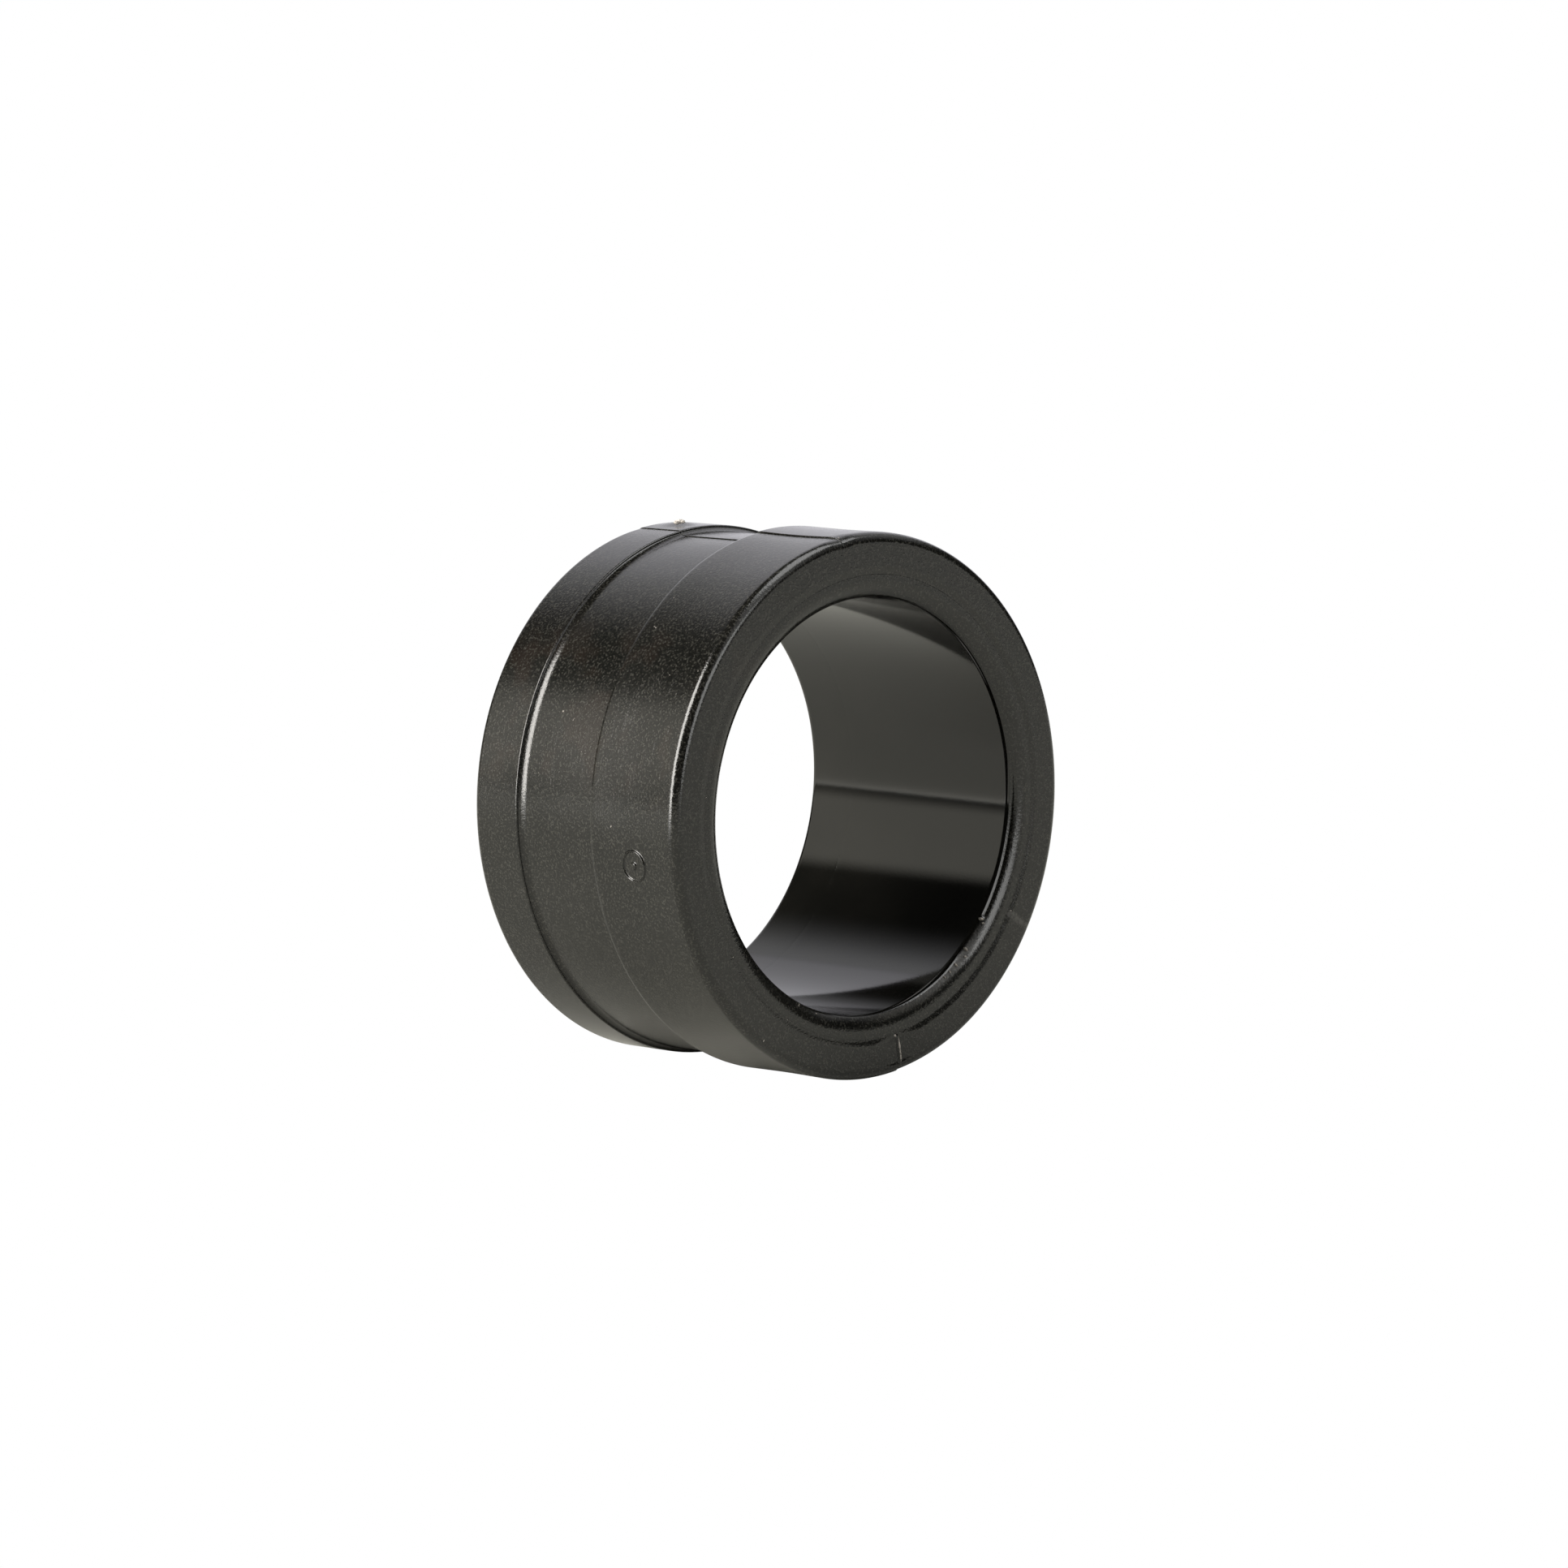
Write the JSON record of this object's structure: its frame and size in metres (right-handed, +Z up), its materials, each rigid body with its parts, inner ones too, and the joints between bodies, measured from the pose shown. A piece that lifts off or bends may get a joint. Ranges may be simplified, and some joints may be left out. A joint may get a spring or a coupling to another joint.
{
  "type": "fence insulator",
  "caption": "Short round black plastic insulator bush: wide front band, shallow outer groove, back flange and a smooth through bore.",
  "frame": {"origin": "centre of the bore, half way between the two end faces", "axes": "+Y along the bore's axis from the front end face to the back flange, +Z up through the gate mark, +X to the right seen from the front"},
  "size_m": [0.037, 0.0198, 0.0371],
  "materials": {
    "collar_plastic": "fine-grained matt black",
    "sleeve_plastic": "polished black bore"
  },
  "bodies": {
    "root": {"bore_sleeve": "sleeve_plastic", "collar_shell_left": "collar_plastic", "collar_shell_right": "collar_plastic"}
  },
  "joints": []
}
